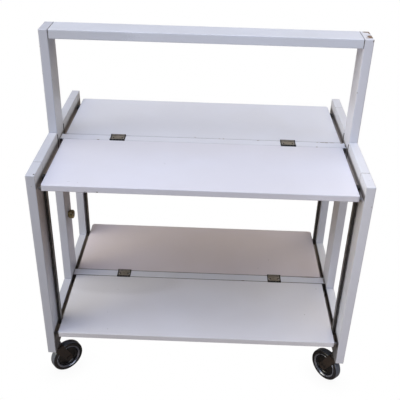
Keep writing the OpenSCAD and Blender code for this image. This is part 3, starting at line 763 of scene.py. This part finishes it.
def paint(name, material):
    mesh = nodes[name].data
    mesh.materials.clear()
    mesh.materials.append(material)


for name in boards:
    paint(name, lacquerOn(name))

hingeMetal = makeHingeFinish()
darkMetal = makeWornMetal("blackened_metal", darkMetalFinish, Specular_IOR_Level=0.15)
steel = makeWornMetal("zinc_steel", steelFinish, Metallic=0.95)
forkPaint = makeWornMetal("dark_fork_enamel", forkFinish)
wheelPaint = makeWheelFinish()
paint("frame_dowels", makeBirch())
paint("stop_knob", makeKnobFinish())
for name in nodes:
    if name.endswith(("hinge_plates", "hinge_flanges")):
        paint(name, hingeMetal)
    elif name.endswith("gate_hinges"):
        paint(name, darkMetal)
    elif name.endswith(("_pins", "_screws", "_screw", "_pegs", "_stems")):
        paint(name, steel)
    elif name.endswith("tie_bar"):
        paint(name, tieOn(name))
    elif name.endswith("_fork"):
        paint(name, forkPaint)
    elif name.endswith("_wheel"):
        paint(name, wheelPaint)
spinAxis = {joint["child"]: Vector(joint["axis"]) for joint in frame["joints"]}
for a, b in corners:
    paint(f"{a}_{b}_tyre", tyreOn(f"{a}_{b}_tyre", spinAxis[f"{a}_{b}_roller"]))
print("finishes applied")


# trees that set copies of a small piece on points

def startCopies(name, sizes):
    # takes points, and has one named input for each size
    tree = bpy.data.node_groups.new(name, "GeometryNodeTree")
    tree.interface.new_socket("Geometry", in_out="INPUT", socket_type="NodeSocketGeometry")
    for title in sizes:
        tree.interface.new_socket(title, in_out="INPUT", socket_type="NodeSocketFloat")
    tree.interface.new_socket("Geometry", in_out="OUTPUT", socket_type="NodeSocketGeometry")
    entry = tree.nodes.new("NodeGroupInput").outputs
    end = tree.nodes.new("NodeGroupOutput").inputs
    return tree, entry, end


def standUp(tree):
    # turns a piece so that it faces the way that its point says
    facing = addNode(tree, "GeometryNodeInputNamedAttribute", {"Name": "facing"}, data_type="FLOAT_VECTOR")
    stand = addNode(tree, "FunctionNodeAlignRotationToVector", {"Vector": facing.outputs[0]}, axis="Z")
    return stand.outputs[0]


def endCopies(tree, entry, end, piece, rotation, material):
    copies = addNode(tree, "GeometryNodeInstanceOnPoints", {
        "Points": entry["Geometry"], "Instance": piece, "Rotation": rotation,
    })
    real = addNode(tree, "GeometryNodeRealizeInstances", {"Geometry": copies.outputs["Instances"]})
    finish = addNode(tree, "GeometryNodeSetMaterial", {
        "Geometry": real.outputs["Geometry"], "Material": material,
    })
    feed(tree, end["Geometry"], finish.outputs["Geometry"])


def setOnPoints(name, body, places, tree, sizes):
    # places: list of (point, direction that the piece faces)
    mesh = bpy.data.meshes.new(name + "_points")
    mesh.from_pydata([point for point, facing in places], [], [])
    layer = mesh.attributes.new("facing", "FLOAT_VECTOR", "POINT")
    for index, (point, facing) in enumerate(places):
        layer.data[index].vector = facing
    points = addObject(name + "_points", mesh)
    modifier = points.modifiers.new("copies", "NODES")
    modifier.node_group = tree
    for item in tree.interface.items_tree:
        if item.item_type == "SOCKET" and item.in_out == "INPUT" and item.name in sizes:
            modifier[item.identifier] = sizes[item.name]
    evaluated = points.evaluated_get(bpy.context.evaluated_depsgraph_get())
    result = bpy.data.meshes.new_from_object(evaluated)
    bpy.data.objects.remove(points)
    piece = addObject(name, result)
    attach(piece, body)


# wood screws in the shelf hinges

screwSizes = {
    "Head Radius": 0.0022,
    "Head Depth": 0.0011,
    "Slot Length": 0.0034,
    "Slot Width": 0.0007,
    "Slot Depth": 0.0006,
}

screwHeads = {
    "spacing": 0.0105,                      # from the middle of a hinge to each of its two screws
    "proud": 0.0003,                        # how far a head stands over the plate
    "around": 20,
    "taper": 0.55,                          # radius of a head's underside, as a share of its top's
    "seed": 7,
}


def makeScrewTree(material):
    # a countersunk cross-slotted head on every point, turned by chance about its own axis
    tree, entry, end = startCopies("woodScrews", screwSizes)
    head = addNode(tree, "GeometryNodeMeshCone", {
        "Vertices": screwHeads["around"],
        "Radius Bottom": calc(tree, "MULTIPLY", entry["Head Radius"], screwHeads["taper"]),
        "Radius Top": entry["Head Radius"],
        "Depth": entry["Head Depth"],
    })
    down = addNode(tree, "ShaderNodeCombineXYZ", {"Z": calc(tree, "MULTIPLY", entry["Head Depth"], -1.0)})
    headAt = addNode(tree, "GeometryNodeTransform", {
        "Geometry": head.outputs["Mesh"], "Translation": down.outputs[0],
    })
    slotSize = addNode(tree, "ShaderNodeCombineXYZ", {
        "X": entry["Slot Length"], "Y": entry["Slot Width"], "Z": entry["Slot Depth"],
    })
    slot = addNode(tree, "GeometryNodeMeshCube", {"Size": slotSize.outputs[0]})
    crossSlot = addNode(tree, "GeometryNodeTransform", {
        "Geometry": slot.outputs["Mesh"], "Rotation": (0.0, 0.0, math.pi / 2),
    })
    cut = addNode(tree, "GeometryNodeMeshBoolean", operation="DIFFERENCE")
    feed(tree, cut.inputs["Mesh 1"], headAt.outputs["Geometry"])
    feed(tree, cut.inputs["Mesh 2"], slot.outputs["Mesh"])
    feed(tree, cut.inputs["Mesh 2"], crossSlot.outputs["Geometry"])
    chance = addNode(tree, "FunctionNodeRandomValue", {"Seed": screwHeads["seed"]}, data_type="FLOAT")
    feed(tree, chance.inputs[3], math.pi)
    turn = addNode(tree, "FunctionNodeAxisAngleToRotation", {
        "Axis": (0.0, 0.0, 1.0), "Angle": chance.outputs[1],
    })
    spun = addNode(tree, "FunctionNodeRotateRotation", rotation_space="LOCAL")
    feed(tree, spun.inputs[0], standUp(tree))
    feed(tree, spun.inputs[1], turn.outputs[0])
    endCopies(tree, entry, end, cut.outputs["Mesh"], spun.outputs[0], material)
    return tree


def plateScrewPlaces():
    places = []
    up = Vector((0.0, 0.0, 1.0))
    start, stop = shelfHinge["at"]
    halfHinge = (stop - start) / 2
    for level in ("upper", "lower"):
        low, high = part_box(level + "_hinge_plates")
        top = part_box(level + "_centre_bar")[1].z + screwHeads["proud"]
        for middle in (low.x + halfHinge, high.x - halfHinge):
            for along in (-screwHeads["spacing"], screwHeads["spacing"]):
                places.append((Vector((middle + along, 0.0, top)), up))
    return places


screwTree = makeScrewTree(darkMetal)
setOnPoints("plate_wood_screws", "frame", plateScrewPlaces(), screwTree, screwSizes)
print("wood screws set")


# thin beads and rolled rims on both sides of each wheel

wheelBeads = {                              # heights are measured from the middle of the wheel
    "Rib Radius": 0.0338, "Rib Thickness": 0.0005, "Rib Height": 0.0089,        # on the tyre's flank
    "Step Radius": 0.0246, "Step Thickness": 0.0006, "Step Height": 0.0051,     # down in the dish
    "Foot Radius": 0.0226, "Foot Thickness": 0.0005, "Foot Height": 0.0030,
}

beadFinish = {
    "rim": ((0.27, 0.29, 0.35), (0.36, 0.38, 0.45)),        # dull and bright
    "bead": ((0.06, 0.063, 0.072), (0.10, 0.105, 0.12)),
    "brightFrom": (0.35, 0.65),
    "metallic": (0.6, 0.75),
    "roughness": (0.12, 0.2),
    "film": (60.0, 420.0),
    "around": 72,
    "section": 8,
}


def makeBeadFinish(name, dull, bright):
    material, tree, shader, place = startMaterial(name, Specular_IOR_Level=0.6)
    film = addFilm(tree, place, beadFinish["film"])
    worn = remap(tree, film["Small"], *beadFinish["brightFrom"])
    feed(tree, shader["Base Color"], blendColour(tree, worn, dull, bright))
    feed(tree, shader["Metallic"], remap(tree, film["Broad"], 0.0, 1.0, *beadFinish["metallic"]))
    feed(tree, shader["Roughness"], spread(tree, film["Small"], beadFinish["roughness"]))
    return material


def makeBeadTree(material):
    # three thin rings about every point
    tree, entry, end = startCopies("wheelBeads", wheelBeads)
    together = tree.nodes.new("GeometryNodeJoinGeometry")
    for ring in ("Rib", "Step", "Foot"):
        loop = addNode(tree, "GeometryNodeCurvePrimitiveCircle", {
            "Resolution": beadFinish["around"], "Radius": entry[ring + " Radius"],
        })
        section = addNode(tree, "GeometryNodeCurvePrimitiveCircle", {
            "Resolution": beadFinish["section"], "Radius": entry[ring + " Thickness"],
        })
        swept = addNode(tree, "GeometryNodeCurveToMesh", {
            "Curve": loop.outputs["Curve"], "Profile Curve": section.outputs["Curve"],
        })
        lift = addNode(tree, "ShaderNodeCombineXYZ", {"Z": entry[ring + " Height"]})
        raised = addNode(tree, "GeometryNodeTransform", {
            "Geometry": swept.outputs["Mesh"], "Translation": lift.outputs[0],
        })
        feed(tree, together.inputs["Geometry"], raised.outputs["Geometry"])
    smooth = addNode(tree, "GeometryNodeSetShadeSmooth", {"Geometry": together.outputs["Geometry"]})
    endCopies(tree, entry, end, smooth.outputs["Geometry"], standUp(tree), material)
    return tree


rimRoll = {                                 # between the dish and the tyre, as radius and height
    "inside": (0.0266, 0.0068),
    "outside": (0.0313, 0.0086),
    "under": (0.0288, 0.0070),
    "slopes": (50.0, 27.0),                 # how steep it is where it starts and ends
    "start": (0.0270, 0.0074),
    "end": 0.0302,
    "lip": ((0.0307, 0.00975), (0.0311, 0.0093)),
    "steps": 9,
    "around": 96,
}


def rimProfile():
    # a rounded slope of even curvature, then a small lip down to the tyre
    first, last = (math.sin(math.radians(angle)) for angle in rimRoll["slopes"])
    radius, height = rimRoll["start"]
    bend = (rimRoll["end"] - radius) / (first - last)
    steepest = math.cos(math.asin(first))
    profile = [rimRoll["under"], rimRoll["inside"]]
    for step in range(rimRoll["steps"]):
        slope = first + (last - first) * step / (rimRoll["steps"] - 1)
        rise = math.cos(math.asin(slope)) - steepest
        profile.append((radius + bend * (first - slope), height + bend * rise))
    return [*profile, *rimRoll["lip"], rimRoll["outside"]]


def addRims(name, body, centre, axis, material):
    # both rims of one wheel, turned about its axle
    profile = rimProfile()
    around = rimRoll["around"]
    side = axis.cross(Vector((0.0, 0.0, 1.0))).normalized()
    other = axis.cross(side)
    bm = bmesh.new()
    for direction in (1.0, -1.0):
        rings = []
        for step in range(around):
            angle = 2 * math.pi * step / around
            out = math.cos(angle) * side + math.sin(angle) * other
            rings.append([bm.verts.new(centre + r * out + direction * h * axis) for r, h in profile])
        for step, ring in enumerate(rings):
            following = rings[(step + 1) % around]
            for index in range(len(profile)):
                after = (index + 1) % len(profile)
                bm.faces.new((ring[index], following[index], following[after], ring[after]))
    bmesh.ops.recalc_face_normals(bm, faces=bm.faces)
    for face in bm.faces:
        face.smooth = True
    mesh = bpy.data.meshes.new(name)
    bm.to_mesh(mesh)
    bm.free()
    mesh.materials.append(material)
    piece = addObject(name, mesh)
    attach(piece, body)


rimMetal = makeBeadFinish("rolled_rim", *beadFinish["rim"])
beadTree = makeBeadTree(makeBeadFinish("dark_bead", *beadFinish["bead"]))
for a, b in corners:
    low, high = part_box(f"{a}_{b}_tyre")
    centre = (low + high) / 2
    axis = spinAxis[f"{a}_{b}_roller"].normalized()
    flanks = [(centre, axis), (centre, -axis)]
    addRims(f"{a}_{b}_rims", f"{a}_{b}_roller", centre, axis, rimMetal)
    setOnPoints(f"{a}_{b}_wheel_beads", f"{a}_{b}_roller", flanks, beadTree, wheelBeads)
print("wheel rims and beads set")


# floor, light and camera

studio = {
    "floorSize": 14.0,
    "floorBounce": (0.30, 0.25, 0.21),      # what the floor sends back to the object
    "floorUneven": 0.95,                    # tone of its darker patches, and their scale
    "floorPatches": 1.5,
    "floorShade": 0.10,                     # how dark the floor gets under the wheels
    "floorReach": 0.05,
    "floorSamples": 8,
    "air": (0.02, 0.02, 0.02),
    "aim": (0.0, 0.0, 0.4),                 # where a softbox points, and its size, unless it says otherwise
    "size": 1.8,
    "softboxes": {                          # mostly cool from the front and above, else warm
        "frontLeft": {"at": (-1.24, -1.48, 2.70), "power": (29.2, 31.0, 36.6)},
        "overhead": {"at": (0.0, -0.10, 3.40), "power": (12.7, 15.0, 20.0)},
        "backRight": {"at": (1.24, 1.48, 2.70), "power": (25.0, 22.1, 17.8)},
        "left": {"at": (-1.93, 0.0, 2.70), "power": (20.4, 19.1, 17.0)},
        "right": {"at": (1.93, 0.0, 2.70), "power": (14.2, 12.9, 10.7)},
        "lowLeft": {"at": (-2.80, -0.75, 1.18), "power": (43.8, 41.6, 33.5)},
        "nearRight": {
            "at": (0.70, -0.50, 1.80), "aim": (0.2, 0.0, 0.4), "size": 1.0, "power": (4.1, 4.2, 4.5),
        },
        "lowRight": {
            "at": (0.45, -0.95, 0.15), "aim": (0.3, -0.2, 0.3), "size": 0.25, "power": (0.70, 0.62, 0.57),
        },
        "lowFront": {
            "at": (1.45, -2.30, 0.70), "aim": (-0.3, -0.2, 0.05), "size": 2.0, "height": 0.40,
            "power": (9.5, 10.2, 11.4),
        },
    },
}


def addFloor():
    bm = bmesh.new()
    bmesh.ops.create_grid(bm, x_segments=1, y_segments=1, size=studio["floorSize"])
    mesh = bpy.data.meshes.new("floor")
    bm.to_mesh(mesh)
    bm.free()
    floor = addObject("floor", mesh)
    material, tree, shader, place = startMaterial("pale_floor", Roughness=0.9)
    bounce = studio["floorBounce"]
    darker = tuple(studio["floorUneven"] * part for part in bounce)
    patches = noise(tree, place, studio["floorPatches"], 2.0)
    feed(tree, shader["Base Color"], blendColour(tree, patches, bounce, darker))
    # the camera sees it white, with a soft shade close to what stands on it
    close = addNode(
        tree, "ShaderNodeAmbientOcclusion", {"Distance": studio["floorReach"]}, samples=studio["floorSamples"]
    )
    paintedShading = calc(tree, "MULTIPLY_ADD", close.outputs["AO"], studio["floorShade"], 1.0 - studio["floorShade"])
    seen = addNode(tree, "ShaderNodeEmission", {"Strength": paintedShading})
    mix = addNode(tree, "ShaderNodeMixShader")
    feed(tree, mix.inputs[0], tree.nodes.new("ShaderNodeLightPath").outputs["Is Camera Ray"])
    feed(tree, mix.inputs[1], tree.nodes["Principled BSDF"].outputs[0])
    feed(tree, mix.inputs[2], seen.outputs[0])
    feed(tree, tree.nodes["Material Output"].inputs["Surface"], mix.outputs[0])
    mesh.materials.append(material)


def addSoftbox(name, box):
    light = bpy.data.lights.new(name, "AREA")
    light.shape = "RECTANGLE"
    light.size = box.get("size", studio["size"])
    light.size_y = box.get("height", light.size)
    light.energy = max(box["power"])
    light.color = [part / light.energy for part in box["power"]]
    lamp = addObject(name, light)
    at = Vector(box["at"])
    turn = (Vector(box.get("aim", studio["aim"])) - at).to_track_quat("-Z", "Y")
    lamp.visible_camera = False
    lamp.matrix_world = Matrix.Translation(at) @ turn.to_matrix().to_4x4()


def addWorld():
    world = bpy.data.worlds.new("studio_air")
    world.use_nodes = True
    tree = world.node_tree
    path = tree.nodes.new("ShaderNodeLightPath").outputs["Is Camera Ray"]
    air = blendColour(tree, path, studio["air"], (1.0, 1.0, 1.0))       # the camera sees it white
    feed(tree, tree.nodes["Background"].inputs["Color"], air)
    bpy.context.scene.world = world


view = {
    "at": (0.0194, -1.3466, 1.1915),
    "azimuth": 0.94,
    "elevation": 30.79,
    "roll": 1.54,
    "focal": 57.447,
    "sensor": 36.0,
}


def addCamera():
    azimuth, elevation, roll = (math.radians(view[name]) for name in ("azimuth", "elevation", "roll"))
    level = math.cos(elevation)
    back = Vector((math.sin(azimuth) * level, -math.cos(azimuth) * level, math.sin(elevation)))
    right = Vector((math.cos(azimuth), math.sin(azimuth), 0.0))
    up = back.cross(right)
    rolledRight = math.cos(roll) * right + math.sin(roll) * up
    rolledUp = math.cos(roll) * up - math.sin(roll) * right
    turn = Matrix((rolledRight, rolledUp, back)).transposed().to_4x4()
    data = bpy.data.cameras.new("camera")
    data.sensor_width = view["sensor"]
    data.lens = view["focal"]
    camera = addObject("camera", data)
    camera.matrix_world = Matrix.Translation(Vector(view["at"])) @ turn
    bpy.context.scene.camera = camera


addFloor()
for name, box in studio["softboxes"].items():
    addSoftbox(name + "_softbox", box)
addWorld()
addCamera()
bpy.context.scene.view_settings.view_transform = "Standard"     # keeps the pale tones from being flattened
print("studio set")
